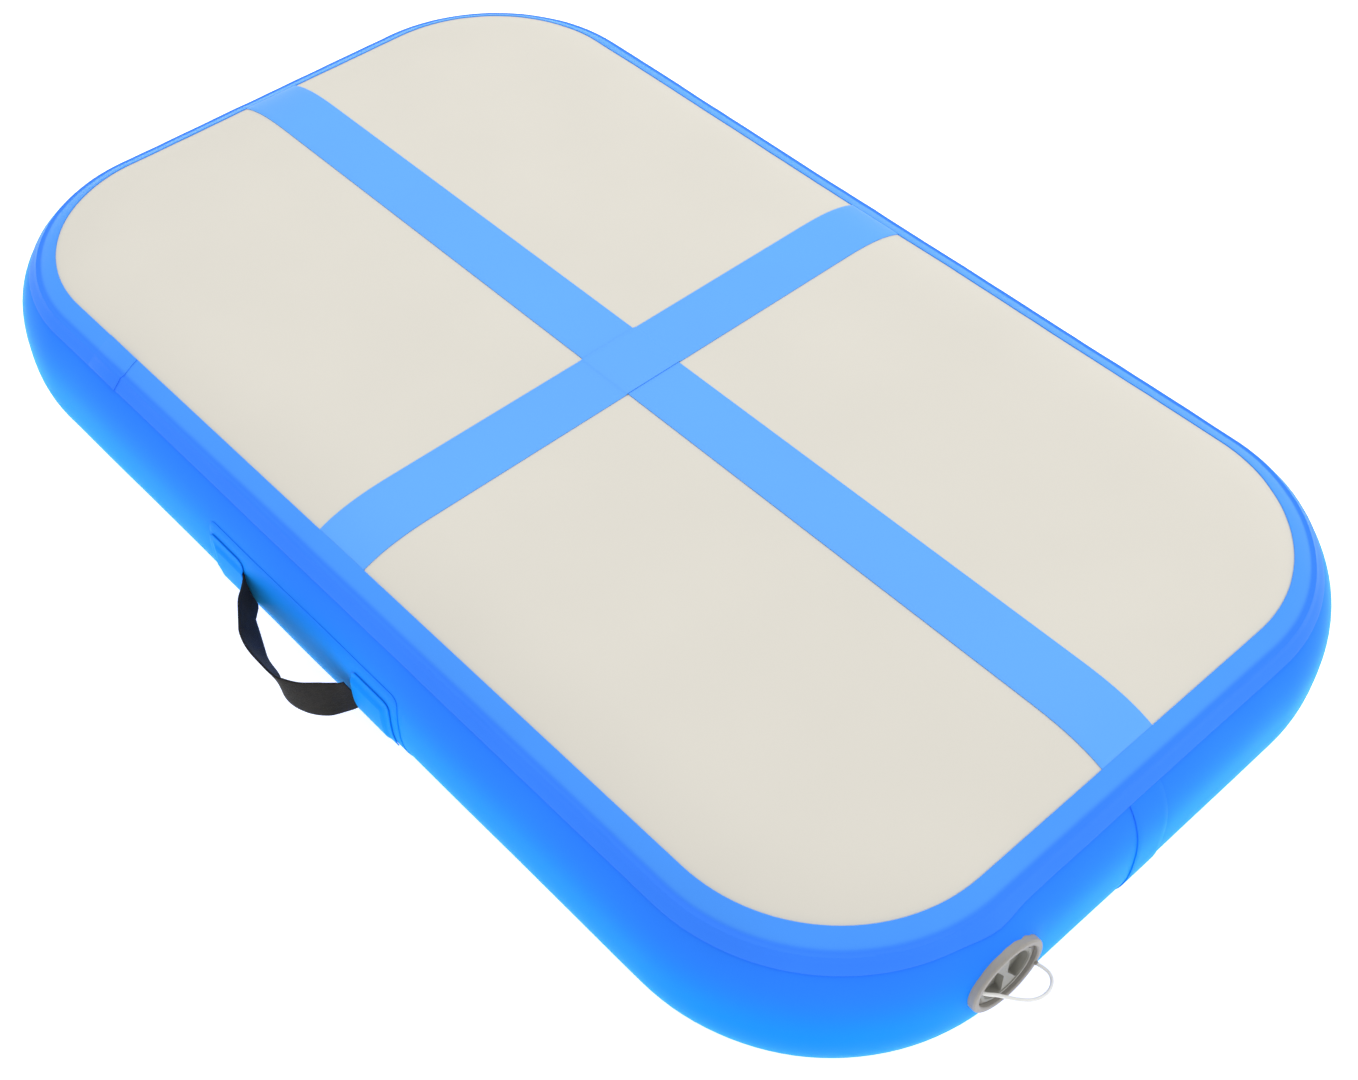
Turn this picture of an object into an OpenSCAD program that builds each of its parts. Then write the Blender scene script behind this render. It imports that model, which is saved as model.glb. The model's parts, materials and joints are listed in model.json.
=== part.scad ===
// Inflatable air track mat: two drop-stitch decks held parallel by yarns, closed by a bulging side wall,
// with border tapes, stripes, two webbing handles and a push-and-turn inflation valve with a leashed cap.
// Frame: origin at the centre of the underside, +X towards the valve end, +Y across, +Z up. Millimetres.

/* [Mat] */
// Overall length of the inflated mat
mat_l = 1000; // [900:10:1200]
// Overall width of the inflated mat
mat_w = 600; // [560:10:800]
// Inflated thickness between the two decks
mat_h = 150; // [150:5:180]
// Corner radius seen from above
corner_r = 160; // [140:1:200]
// How far in from the edge the decks start to curve down
side_depth = 100; // [90:1:105]
// Squareness of the side bulge: 2 is an ellipse, higher is squarer
side_power = 2.65; // [2.6:0.05:3.2]

/* [Skins] */
// Thickness of the coated deck cloth
deck_t = 1.2; // [0.9:0.1:1.5]
// Thickness of the side wall strip
wall_t = 1.2; // [0.9:0.1:1.5]
// Thickness of border tapes, patches and the wall splice
tape_t = 0.9; // [0.7:0.1:1.1]
// Thickness of the deck stripes
stripe_t = 0.8; // [0.6:0.1:1]
// Width of the deck stripes
stripe_w = 50; // [30:1:80]
// Spacing of the modelled drop-stitch yarns
yarn_pitch = 50; // [40:5:100]

/* [Handles] */
// Distance between the two places where a strap comes out of its pads
grip_span = 129; // [110:1:150]
// How far the strap stands out from the wall
grip_reach = 34; // [30:1:40]
// Width of the webbing
web_w = 30; // [25:1:38]
// Thickness of the webbing
web_t = 1.6; // [1.2:0.1:2]
// Offset of the handles from mid length
handle_x = -13; // [-30:1:30]
// Height of the webbing's centre line
handle_z = 65; // [60:1:75]

/* [Valve] */
// How far the valve sits round the front left corner, in degrees from the end
valve_turn = 3.5; // [0:0.5:8]
// Height of the valve's centre above mid thickness
valve_rise = 13; // [0:1:13]
// Radius of the flange
flange_r = 29.2; // [28.8:0.2:30]
// Radius of the socket that takes the pump nozzle
socket_r = 13; // [12:0.1:14]

/* [Hidden] */
$fn = 64;

BLUE = "dodgerblue";
BEIGE = "#e2dfd3";

// Places on the side profile, as insets from the mat's edge
tape_inset = 36;       // inner edge of a border tape, on the deck
wall_top_inset = 22;   // edge of the side wall strip, under the tape
tape_low_inset = 13.5; // outer edge of a border tape, on the side wall
deck_edge_inset = 15;  // hidden edge of the deck cloth, behind the side wall

half_l = mat_l / 2 - wall_t;
half_w = mat_w / 2 - wall_t;
corner_x = half_l - corner_r;
corner_y = half_w - corner_r;
core_r = corner_r - side_depth;

// ---- Side profile: a superellipse from the flat deck (t = 90) over the side (t = 0) to the underside (t = -90)
function power(x, p) = x <= 0 ? 0 : pow(x, p);
function out_share(t) = power(cos(t), 2 / side_power);
function up_share(t) = sign(t) * power(abs(sin(t)), 2 / side_power);
function outward(t) =
    let (nx = power(out_share(t), side_power - 1) / side_depth,
         nz = sign(t) * power(abs(up_share(t)), side_power - 1) / (mat_h / 2),
         size = norm([nx, nz]))
    [nx / size, nz / size];
// Point of the profile at t, moved d along the outward normal: [distance out from the flat deck's edge, height]
function on_side(t, d) = [side_depth * out_share(t), mat_h / 2 * (1 + up_share(t))] + d * outward(t);
// The angle t that lies at an inset from the mat's edge, or at a height above mid height
function t_at_inset(inset) = acos(power(1 - inset / side_depth, side_power / 2));
function t_at_rise(rise) = sign(rise) * asin(power(abs(rise) / (mat_h / 2), side_power / 2));
// Every layer bends at these same angles, so that one layer lies flat on the next
upper_angles = concat([90], [for (inset = [85, 70, 56, 44, 34, 26, 20, deck_edge_inset]) t_at_inset(inset)],
    [for (rise = [42:-7:0]) t_at_rise(rise)]);
all_angles = concat([for (t = upper_angles) -t], backwards(upper_angles));
function backwards(list) = [for (i = [len(list) - 1:-1:0]) list[i]];
function between(t0, t1) = [for (t = all_angles) if (t > t0 + 0.01 && t < t1 - 0.01) t];
// A run of profile points from t0 to t1 at distance d
function side_run(t0, t1, d) =
    let (inner = t0 < t1 ? between(t0, t1) : backwards(between(t1, t0)))
    [for (t = concat([t0], inner, [t1])) on_side(t, d)];

t_tape = t_at_inset(tape_inset);
t_wall = t_at_inset(wall_top_inset);
t_low = t_at_inset(tape_low_inset);
t_deck = t_at_inset(deck_edge_inset);

// A closed band of the profile between t0 and t1, from distance d0 to d1
module side_band(t0, t1, d0, d1)
    polygon(concat(side_run(t0, t1, d0), side_run(t1, t0, d1)));

// Sweeps a profile round the whole mat
module round_the_mat() {
    for (side = [0:3]) {
        run = side % 2 == 0 ? corner_y : corner_x;
        reach = (side % 2 == 0 ? corner_x : corner_y) + core_r;
        rotate([0, 0, 90 * side]) translate([reach, 0, 0]) rotate([90, 0, 0])
            linear_extrude(height = 2 * run, center = true) children();
    }
    for (corner = [0:3]) {
        sx = corner == 0 || corner == 3 ? 1 : -1;
        sy = corner < 2 ? 1 : -1;
        translate([sx * corner_x, sy * corner_y, 0]) rotate([0, 0, 90 * corner])
            rotate_extrude(angle = 90) translate([core_r, 0]) children();
    }
}

// The flat middle of a deck, at heights z to z + t
module deck_plate(z, t) translate([0, 0, z]) linear_extrude(height = t) {
    square([2 * (corner_x + core_r), 2 * corner_y], center = true);
    square([2 * corner_x, 2 * (corner_y + core_r)], center = true);
    for (sx = [-1, 1], sy = [-1, 1]) translate([sx * corner_x, sy * corner_y]) circle(core_r);
}

// A strip of profile band on the straight part of a long side (side = -1 left, 1 right), from x0 to x1
module on_long_side(side, x0, x1) {
    wide = x1 - x0;
    translate([(x0 + x1) / 2, side * (corner_y + core_r), 0]) rotate([0, 0, side * 90]) rotate([90, 0, 0])
        linear_extrude(height = wide, center = true) children();
}

// ---- Envelope
module top_deck() color(BEIGE) {
    deck_plate(mat_h - deck_t, deck_t);
    round_the_mat() side_band(t_deck, 90, -deck_t, 0);
}

module bottom_deck() color(BEIGE) {
    deck_plate(0, deck_t);
    round_the_mat() side_band(-90, -t_deck, -deck_t, 0);
}

module drop_stitch_yarns() color("white") {
    nx = floor((corner_x + core_r - 20) / yarn_pitch);
    ny = floor((corner_y + core_r - 20) / yarn_pitch);
    for (i = [-nx:nx], j = [-ny:ny])
        translate([i * yarn_pitch, j * yarn_pitch, deck_t])
            cylinder(h = mat_h - 2 * deck_t, r = 0.6, $fn = 16);
}

module side_wall() color(BLUE) difference() {
    round_the_mat() side_band(-t_wall, t_wall, 0, wall_t);
    at_valve() cylinder(h = 60, r = barrel_r + 0.2, center = true);
}

// The wall strip's ends meet at the valve end, under a narrow splice
module side_wall_splice() color(BLUE)
    translate([corner_x + core_r, -8, 0]) rotate([90, 0, 0])
        linear_extrude(height = 30, center = true) side_band(-t_low, t_low, wall_t, wall_t + tape_t);

// Tape section: lies on the deck, climbs over the wall strip's edge and ends on the wall
module tape_section() {
    climb = 3;
    polygon(concat(
        side_run(t_tape, t_wall, 0),
        side_run(t_wall, t_low, wall_t),
        side_run(t_low, t_wall - climb, wall_t + tape_t),
        side_run(t_wall + climb, t_tape, tape_t)));
}

module top_border_tape() color(BLUE) round_the_mat() tape_section();

module bottom_border_tape() color(BLUE) translate([0, 0, mat_h]) mirror([0, 0, 1])
    round_the_mat() tape_section();

// ---- Stripes. A stripe's section runs from one tape to the other over the deck
function stripe_run(reach, d) = concat(
    [for (p = side_run(t_tape, 90, d)) [reach + p[0], p[1]]],
    [for (p = side_run(90, t_tape, d)) [-reach - p[0], p[1]]]);

module lengthwise_stripe() color(BLUE) rotate([90, 0, 0])
    linear_extrude(height = stripe_w, center = true)
        polygon(concat(stripe_run(corner_x + core_r, 0), backwards(stripe_run(corner_x + core_r, stripe_t))));

// Lies across the lengthwise stripe, so its middle is one thickness higher
module crosswise_stripe() color(BLUE) {
    half = stripe_w / 2;
    ramp = 3;
    top = mat_h + stripe_t;
    difference() {
        rotate([90, 0, 90]) linear_extrude(height = stripe_w, center = true) union() {
            polygon(concat(stripe_run(corner_y + core_r, 0), backwards(stripe_run(corner_y + core_r, stripe_t))));
            polygon([[-half - ramp, top], [-half, top + stripe_t], [half, top + stripe_t], [half + ramp, top],
                [half + ramp, top - 0.2], [-half - ramp, top - 0.2]]);
        }
        translate([0, 0, mat_h + stripe_t / 2]) cube([2 * stripe_w, stripe_w, stripe_t], center = true);
    }
}

// ---- Handles. side is -1 on the left and 1 on the right
patch_low = -44;  // edges of the patch, from mid height
patch_high = 26;
patch_ahead = 8;   // the patch reaches this far past the front pad
pad_l = 42;
pad_half_h = 25;
tail_l = 34;
wall_face = wall_t + tape_t; // outer face of a patch, from the deck's surface
strap_root = 1.5;            // the swing axis stands this far off the wall
strap_wedge = 38;            // half angle over which the webbing gathers at its roots
front_root = handle_x + grip_span / 2;
rear_root = handle_x - grip_span / 2;

module handle_patch(side) color(BLUE)
    on_long_side(side, rear_root - pad_l, front_root + pad_l + patch_ahead)
        side_band(t_at_rise(patch_low), t_at_rise(patch_high), wall_t, wall_face);

// One end of the webbing, lying flat on the patch; end is 1 at the valve end
module webbing_tail(side, end) {
    x0 = end == 1 ? front_root : rear_root - tail_l;
    low = handle_z - mat_h / 2 - web_w / 2;
    on_long_side(side, x0, x0 + tail_l)
        side_band(t_at_rise(low), t_at_rise(low + web_w), wall_face, wall_face + web_t);
}

module handle_pad(side, end) color(BLUE) difference() {
    x0 = end == 1 ? front_root : rear_root - pad_l;
    low = handle_z - mat_h / 2 - pad_half_h;
    on_long_side(side, x0, x0 + pad_l)
        side_band(t_at_rise(low), t_at_rise(low + 2 * pad_half_h), wall_face, wall_face + web_t + tape_t);
    webbing_tail(side, end);
}

module handle_tails(side) color("#2e2b28") {
    webbing_tail(side, 1);
    webbing_tail(side, -1);
}

// The free loop: an upright band bent on one arc, gathered towards the swing axis at its two roots
module handle_strap(side) color("#2e2b28") {
    half = grip_span / 2 - 0.4;
    bend_r = (half * half + grip_reach * grip_reach) / (2 * grip_reach);
    spread = asin(half / bend_r);
    face = mat_w / 2 + strap_root;
    inner = 0.8;
    slope = tan(strap_wedge);
    intersection() {
        translate([handle_x, side * (face + grip_reach - bend_r), handle_z - web_w / 2])
            rotate([0, 0, side * 90 - spread]) rotate_extrude(angle = 2 * spread, $fn = 96)
                translate([bend_r - web_t, 0]) square([web_t, web_w]);
        translate([handle_x, side * face, handle_z]) rotate([90, 0, 0]) rotate([0, side * 90, 0])
            linear_extrude(height = grip_span, center = true)
                polygon([[inner, -inner * slope], [web_w / slope, -web_w], [2 * grip_reach, -web_w],
                    [2 * grip_reach, web_w], [web_w / slope, web_w], [inner, inner * slope]]);
    }
}

// ---- Valve. Built along +Z, where 0 is the wall's outer face at the valve's axis and positive is outside
barrel_r = 26.2;
gasket_t = 1;
lip = 4;             // how far the flange stands proud
recess_r = 24.6;
recess_floor = -8;
socket_end = -20;
skirt_end = -18;     // the nut's thread ends here
neck_r = 18.5;
chamber_r = 16;
barrel_end = -44;
seat_r = 12;
nut_top = -9.8;
nut_h = 7.8;
spider_top = -37;
spider_t = 3;
guide_r = 2.6;
stem_r = 2.55;
button_top = -21;
button_t = 3.5;
poppet_top = -45.6;
poppet_t = 2.4;
retainer_top = button_top - button_t - 0.05;
retainer_t = 1;

module at_valve()
    translate([corner_x, -corner_y, mat_h / 2 + valve_rise]) rotate([0, 0, -valve_turn])
        translate([corner_r + wall_t, 0, 0]) rotate([90, 0, 90]) children();

// Everything behind the wall's outer face moved out by d, near the valve
module behind_wall(d) {
    translate([corner_x + core_r, -corner_y / 2, 0]) rotate([90, 0, 0])
        linear_extrude(height = corner_y, center = true) wall_block(d);
    translate([corner_x, -corner_y, 0]) rotate([0, 0, -90]) rotate_extrude(angle = 90, $fn = 256)
        translate([core_r, 0]) wall_block(d);
}

module wall_block(d) {
    inner = 1 - core_r;
    polygon(concat([[inner, 1]], side_run(-89, 89, d), [[inner, mat_h - 1]]));
}

module tube(z0, z1, outer, inner) translate([0, 0, z0]) rotate_extrude()
    translate([inner, 0]) square([outer - inner, z1 - z0]);

module valve_section() {
    round_r = 1.8;
    edge = 0.8;
    polygon(concat(
        [[socket_r, recess_floor], [recess_r, recess_floor], [recess_r, lip - edge], [recess_r + edge, lip]],
        [for (a = [90:-15:0]) [flange_r - round_r + round_r * cos(a), lip - round_r + round_r * sin(a)]],
        [[flange_r, -9], [barrel_r, -9], [barrel_r, skirt_end], [recess_r - 1, skirt_end],
         [recess_r - 1, recess_floor - 3], [neck_r, recess_floor - 3], [neck_r, barrel_end],
         [seat_r, barrel_end], [seat_r, barrel_end + 2], [chamber_r, barrel_end + 2],
         [chamber_r, socket_end], [socket_r, socket_end]]));
}

module valve_body() color("#9a9792") {
    bayonet_w = 6;
    difference() {
        at_valve() difference() {
            rotate_extrude() valve_section();
            for (a = [-1, 1])
                translate([a * (socket_r + 0.6) - 1.6, -bayonet_w / 2, recess_floor - 4]) cube([3.2, bayonet_w, 5]);
        }
        difference() {
            behind_wall(wall_t + gasket_t);
            at_valve() cylinder(h = 120, r = barrel_r, center = true);
        }
    }
    at_valve() difference() {
        union() {
            for (a = [0, 90]) rotate([0, 0, a])
                translate([-chamber_r - 0.5, -1.5, spider_top - spider_t])
                    cube([2 * chamber_r + 1, 3, spider_t]);
            translate([0, 0, spider_top - spider_t - 2]) cylinder(h = spider_t + 2, r = guide_r + 1.6);
        }
        translate([0, 0, spider_top - 10]) cylinder(h = 20, r = guide_r);
    }
}

// Rubber ring between the flange and the wall, curved as the wall is
module valve_gasket() color("#3b3b3b") difference() {
    intersection() {
        at_valve() tube(-14, 6, 28.4, barrel_r + 0.1);
        behind_wall(wall_t + gasket_t);
    }
    behind_wall(wall_t);
}

// Soft ring that fills the space between the flat nut and the curved inside of the wall
module clamp_washer() color("#3b3b3b") intersection() {
    at_valve() tube(nut_top, 6, 28.6, barrel_r + 0.1);
    behind_wall(0);
}

module valve_nut() color("#77746f") at_valve() {
    lugs = 12;
    tube(nut_top - nut_h, nut_top, 28.5, barrel_r + 0.1);
    difference() {
        for (a = [0:360 / lugs:359]) rotate([0, 0, a]) translate([27.8, -2.5, nut_top - nut_h]) cube([3.4, 5, 6]);
        translate([0, 0, nut_top - nut_h - 1]) cylinder(h = 8, r = 28.4);
    }
}

module valve_stem() color("#c9c6bf") at_valve() {
    translate([0, 0, poppet_top - poppet_t]) cylinder(h = button_top - button_t + poppet_t - poppet_top, r = stem_r);
    translate([0, 0, button_top - button_t]) difference() {
        cylinder(h = button_t, r = 7);
        translate([-4.5, -0.8, button_t - 1]) cube([9, 1.6, 2]);
    }
}

module spring_retainer() color("#b8b5ae") at_valve() tube(retainer_top - retainer_t, retainer_top, 6.4, stem_r + 0.05);

// Turns of the compression spring, evenly spaced between the guide and the retainer
module stem_spring() color("silver") at_valve() {
    turns = 5;
    wire_r = 0.45;
    top = retainer_top - retainer_t - wire_r - 0.05;
    low = spider_top + wire_r + 0.05;
    for (i = [0:turns - 1]) translate([0, 0, low + (top - low) * i / (turns - 1)])
        rotate_extrude() translate([5, 0]) circle(wire_r, $fn = 16);
}

module stem_poppet() color("#8d8a84") at_valve() tube(poppet_top - poppet_t, poppet_top, 15, stem_r);

module poppet_seal() color("#2b2b2b") at_valve() tube(poppet_top, poppet_top + 1.5, 14.6, 10.5);

// ---- Cap. Its plug fills the recess, and a ring that holds the leash sits loose round its neck
plug_r = 24.2;
plug_low = recess_floor + 1.6;
plug_high = -2.6;
cap_neck_r = 20.8;
cap_lip_r = 21.6;
cap_top = 1.6;
ring_low = plug_high + 0.3;
ring_high = 0.4;
grip_low = plug_low + 1.6; // floor of the two pockets beside the grip
grip_turn = 107.5;         // direction of the grip, from the across axis

// One arm of the bow-tie grip, wider towards the rim
module grip_arm() linear_extrude(height = cap_top - 0.6 - grip_low)
    polygon([[0, -1.5], [cap_neck_r - 1, -6.8], [cap_neck_r - 1, 6.8], [0, 1.5]]);

module cap() color("#84827e") at_valve() {
    rim_t = 1.4;
    rotate_extrude() polygon([[0, plug_low], [plug_r, plug_low], [plug_r, plug_high], [cap_neck_r, plug_high],
        [cap_neck_r, ring_high + 0.3], [cap_lip_r, ring_high + 0.6], [cap_lip_r, cap_top - 0.4],
        [cap_lip_r - 0.4, cap_top], [cap_neck_r - rim_t, cap_top], [cap_neck_r - rim_t, grip_low], [0, grip_low]]);
    intersection() {
        translate([0, 0, grip_low]) for (a = [0, 180]) rotate([0, 0, a + grip_turn]) grip_arm();
        translate([0, 0, plug_low]) cylinder(h = 20, r = cap_neck_r - 0.7);
    }
}

module cap_seal() color("#2b2b2b") at_valve() tube(recess_floor + 0.05, plug_low, 20, 14.5);

module cap_ring() color("#9a9792") at_valve() tube(ring_low, ring_high, plug_r + 0.1, cap_neck_r + 0.15);

// Leash route from the flange round to the cap's ring: [across, up, out] from the valve's axis
leash_d = 2.4;
leash_route = [
    [24.6, -9.5, 4], [24.9, -9.6, 6.2], [25.8, -10.1, 8.6], [26.5, -10.6, 11.2], [26.6, -11, 13.9],
    [25.6, -11.3, 16.6], [23.6, -11.3, 19], [20.6, -10.9, 20.9], [17, -10.1, 22.2], [13, -9, 22.8],
    [8.8, -7.6, 22.8], [4.6, -6.1, 22], [0.6, -4.6, 20.5], [-3.2, -3, 18.3], [-6.8, -1.4, 15.7],
    [-10.2, 0.2, 12.9], [-13.4, 1.7, 10], [-16.6, 3, 7.4], [-19.8, 4.3, 5.3], [-22.2, 5.3, 3], [-22.4, 5.35, 0.4]
];
leash_sides = 8;

function unit(v) = v / norm(v);
function leash_way(i) = unit(leash_route[min(i + 1, len(leash_route) - 1)] - leash_route[max(i - 1, 0)]);
// Ring of points round the route at point i, squared to its direction; the end rings stay flat on their faces
function leash_ring(i) =
    let (last = len(leash_route) - 1,
         way = i == 0 ? [0, 0, 1] : i == last ? [0, 0, -1] : leash_way(i),
         up = unit([0, 1, 0] - ([0, 1, 0] * way) * way),
         side = cross(way, up))
    [for (k = [0:leash_sides - 1])
        leash_route[i] + leash_d / 2 * (cos(360 * k / leash_sides) * side + sin(360 * k / leash_sides) * up)];

module cap_leash() color("white") at_valve() {
    rings = len(leash_route);
    points = [for (i = [0:rings - 1]) each leash_ring(i)];
    walls = [for (i = [0:rings - 2], k = [0:leash_sides - 1])
        let (a = i * leash_sides + k, b = i * leash_sides + (k + 1) % leash_sides)
        [a, b, b + leash_sides, a + leash_sides]];
    first = [for (k = [leash_sides - 1:-1:0]) k];
    end = [for (k = [0:leash_sides - 1]) (rings - 1) * leash_sides + k];
    polyhedron(points, concat([first], walls, [end]), convexity = 4);
}

top_deck();
bottom_deck();
drop_stitch_yarns();
side_wall();
side_wall_splice();
top_border_tape();
bottom_border_tape();
lengthwise_stripe();
crosswise_stripe();
handle_patch(-1);  // left_handle_patch
handle_pad(-1, 1);  // left_handle_front_pad
handle_pad(-1, -1);  // left_handle_rear_pad
handle_tails(-1);  // left_handle_tails
handle_strap(-1);  // left_handle_strap
handle_patch(1);  // right_handle_patch
handle_pad(1, 1);  // right_handle_front_pad
handle_pad(1, -1);  // right_handle_rear_pad
handle_tails(1);  // right_handle_tails
handle_strap(1);  // right_handle_strap
valve_body();
valve_gasket();
clamp_washer();
valve_nut();
valve_stem();
stem_poppet();
poppet_seal();
stem_spring();
spring_retainer();
cap_ring();
cap();
cap_seal();
cap_leash();
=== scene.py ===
# %% [markdown]
# # An inflatable air track mat
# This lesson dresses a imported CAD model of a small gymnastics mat. The CAD says where everything is and how
# it moves. Blender makes what you see: coated cloth pulled tight by air, welded tapes, woven webbing,
# a moulded valve and its braided leash. Everything is in metres, in the frame of the CAD.

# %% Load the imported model
import json
import math

import bmesh
import bpy
from mathutils import Matrix, Vector


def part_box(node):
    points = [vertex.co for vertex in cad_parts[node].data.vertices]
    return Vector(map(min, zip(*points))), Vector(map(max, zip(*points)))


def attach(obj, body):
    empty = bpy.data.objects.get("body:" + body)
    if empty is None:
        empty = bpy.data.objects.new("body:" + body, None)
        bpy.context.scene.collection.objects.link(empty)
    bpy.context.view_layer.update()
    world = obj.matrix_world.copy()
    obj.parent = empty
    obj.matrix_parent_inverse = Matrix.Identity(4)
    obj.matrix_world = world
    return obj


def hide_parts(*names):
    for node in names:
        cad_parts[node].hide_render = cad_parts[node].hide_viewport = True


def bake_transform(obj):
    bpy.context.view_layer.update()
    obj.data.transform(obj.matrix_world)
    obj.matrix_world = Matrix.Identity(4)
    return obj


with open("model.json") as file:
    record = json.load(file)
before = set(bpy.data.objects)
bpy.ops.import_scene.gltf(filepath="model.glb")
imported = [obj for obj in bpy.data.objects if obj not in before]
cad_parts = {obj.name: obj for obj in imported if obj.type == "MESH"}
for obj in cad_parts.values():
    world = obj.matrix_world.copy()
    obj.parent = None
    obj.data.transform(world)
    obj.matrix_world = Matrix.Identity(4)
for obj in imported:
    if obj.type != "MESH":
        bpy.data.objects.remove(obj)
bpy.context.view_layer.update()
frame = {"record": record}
MM = 0.001

# %% [markdown]
# ## The camera
# A mat like this is shown from above one corner, with a normal lens, so that both the deck and the bulging
# sides can be read. The camera is placed on a sphere round a target: two angles, a distance and a small roll.
# That is easier to adjust than a position and three rotations.

# %% Place the camera
azimuth, elevation, roll = (math.radians(a) for a in (46.70, 48.11, 0.65))
camera_target = Vector((27.2, 25.1, -43.8)) * MM
camera_distance = 1550 * MM
back = Vector((math.sin(azimuth) * math.cos(elevation), -math.cos(azimuth) * math.cos(elevation),
               math.sin(elevation)))
bpy.ops.object.select_all(action="DESELECT")
bpy.ops.object.camera_add(location=camera_target + back * camera_distance)
camera = bpy.context.object
camera.rotation_mode = "QUATERNION"
level = back.to_track_quat("Z", "Y")
camera.rotation_quaternion = level @ Matrix.Rotation(roll, 3, "Z").to_quaternion()
camera.data.sensor_width = 36
camera.data.lens = 50.65
bpy.context.scene.camera = camera
print("camera at", [round(v, 3) for v in camera.location])

# %% [markdown]
# ## Light and floor
# The mat stands in a plain white studio. A white world lights it from all sides, a large soft lamp above gives
# the deck its evenness, and a pale floor throws light back on the underside of the bulge. The floor glows
# a little, as a lit table does, so that the shadow under the mat stays light.

# %% Make the studio
scene = bpy.context.scene
scene.view_settings.view_transform = "Standard"
world = bpy.data.worlds.new("studio")
scene.world = world
world.use_nodes = True
sky = world.node_tree.nodes["Background"]
sky.inputs["Color"].default_value = (1, 1, 1, 1)
sky.inputs["Strength"].default_value = 0.78


def soft_lamp(name, place, aim, size, power):
    bpy.ops.object.light_add(type="AREA", location=place)
    lamp = bpy.context.object
    lamp.name = name
    lamp.data.shape = "RECTANGLE"
    lamp.data.size, lamp.data.size_y = size
    lamp.data.energy = power
    lamp.rotation_mode = "QUATERNION"
    lamp.rotation_quaternion = (Vector(aim) - Vector(place)).to_track_quat("-Z", "Y")
    return lamp


soft_lamp("overhead", (-0.5, 0.5, 2.4), (0, 0, 0), (2.6, 2.6), 26)
soft_lamp("side_fill", (1.9, 1.3, 1.1), (0.2, 0, 0.05), (1.6, 1.2), 7)

bpy.ops.mesh.primitive_plane_add(size=16)
floor = bpy.context.object
floor.name = "floor"
floor_paint = bpy.data.materials.new("pale_floor")
floor_paint.use_nodes = True
paint = floor_paint.node_tree.nodes["Principled BSDF"]
paint.inputs["Base Color"].default_value = (0.86, 0.86, 0.86, 1)
paint.inputs["Roughness"].default_value = 0.9
paint.inputs["Specular IOR Level"].default_value = 0.1
paint.inputs["Emission Color"].default_value = (1, 1, 1, 1)
paint.inputs["Emission Strength"].default_value = 0.72
floor.data.materials.append(floor_paint)

# %% [markdown]
# ## Working in edit mode from a script
# A person models with the mouse: add a primitive, go into edit mode, select, extrude. A script does the same
# with operators. Each operator acts on all that is selected, so every piece starts by deselecting everything.
# These small helpers keep the later cells short.


# %% Helpers for edit mode
def rest_mode():
    if bpy.context.object and bpy.context.object.mode != "OBJECT":
        bpy.ops.object.mode_set(mode="OBJECT")
    bpy.ops.object.select_all(action="DESELECT")


def first_vertex(name, place):
    """A plane merged to one vertex and moved to its place: the start of a line that is extruded."""
    rest_mode()
    bpy.ops.mesh.primitive_plane_add(size=MM)
    piece = bpy.context.object
    piece.name = piece.data.name = name
    bpy.ops.object.mode_set(mode="EDIT")
    bpy.ops.mesh.select_mode(type="VERT")
    bpy.ops.mesh.select_all(action="SELECT")
    bpy.ops.mesh.merge(type="CENTER")
    bpy.ops.transform.translate(value=place)
    return piece


def draw_line(name, points):
    """Extrudes a vertex from point to point and leaves the whole line selected."""
    piece = first_vertex(name, points[0])
    for a, b in zip(points, points[1:]):
        bpy.ops.mesh.extrude_vertices_move(TRANSFORM_OT_translate={"value": Vector(b) - Vector(a)})
    bpy.ops.mesh.select_all(action="SELECT")
    return piece


def pull(direction, length, step):
    """Extrudes the selection along a straight, in equal steps."""
    steps = max(1, round(length / step))
    for _ in range(steps):
        bpy.ops.mesh.extrude_region_move(
            TRANSFORM_OT_translate={"value": Vector(direction) * length / steps})


def pick(piece, wanted, kind="VERT"):
    """Selects the vertices, edges or faces whose middle passes a test."""
    bpy.ops.mesh.select_mode(type=kind)
    bpy.ops.mesh.select_all(action="DESELECT")
    mesh = bmesh.from_edit_mesh(piece.data)
    found = 0
    for part in {"VERT": mesh.verts, "EDGE": mesh.edges, "FACE": mesh.faces}[kind]:
        middle = part.co if kind == "VERT" else sum((v.co for v in part.verts), Vector()) / len(part.verts)
        if wanted(middle):
            part.select_set(True)
            found += 1
    mesh.select_flush_mode()
    bmesh.update_edit_mesh(piece.data)
    return found


def modify(piece, kind, **settings):
    """Adds a modifier, sets it and applies it, as one clicks through the panel."""
    rest_mode()
    bpy.context.view_layer.objects.active = piece
    piece.select_set(True)
    modifier = piece.modifiers.new(kind.title(), kind)
    for key, value in settings.items():
        setattr(modifier, key, value)
    bpy.ops.object.modifier_apply(modifier=modifier.name)
    return piece


def face_outwards(piece):
    rest_mode()
    bpy.context.view_layer.objects.active = piece
    piece.select_set(True)
    bpy.ops.object.mode_set(mode="EDIT")
    bpy.ops.mesh.select_all(action="SELECT")
    bpy.ops.mesh.remove_doubles(threshold=0.01 * MM)
    bpy.ops.mesh.normals_make_consistent(inside=False)
    bpy.ops.object.mode_set(mode="OBJECT")


def smooth(piece, angle=35):
    rest_mode()
    bpy.context.view_layer.objects.active = piece
    piece.select_set(True)
    bpy.ops.object.shade_smooth_by_angle(angle=math.radians(angle))


def finish_piece(piece, body, material, slot, *nodes):
    """Gives a piece its finish, its body and the CAD nodes that it stands for."""
    piece.data.materials.clear()
    piece.data.materials.append(material)
    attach(piece, body)
    if nodes:
        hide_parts(*nodes)
    print(f"{piece.name}: {len(piece.data.polygons)} faces on {body}")


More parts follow.
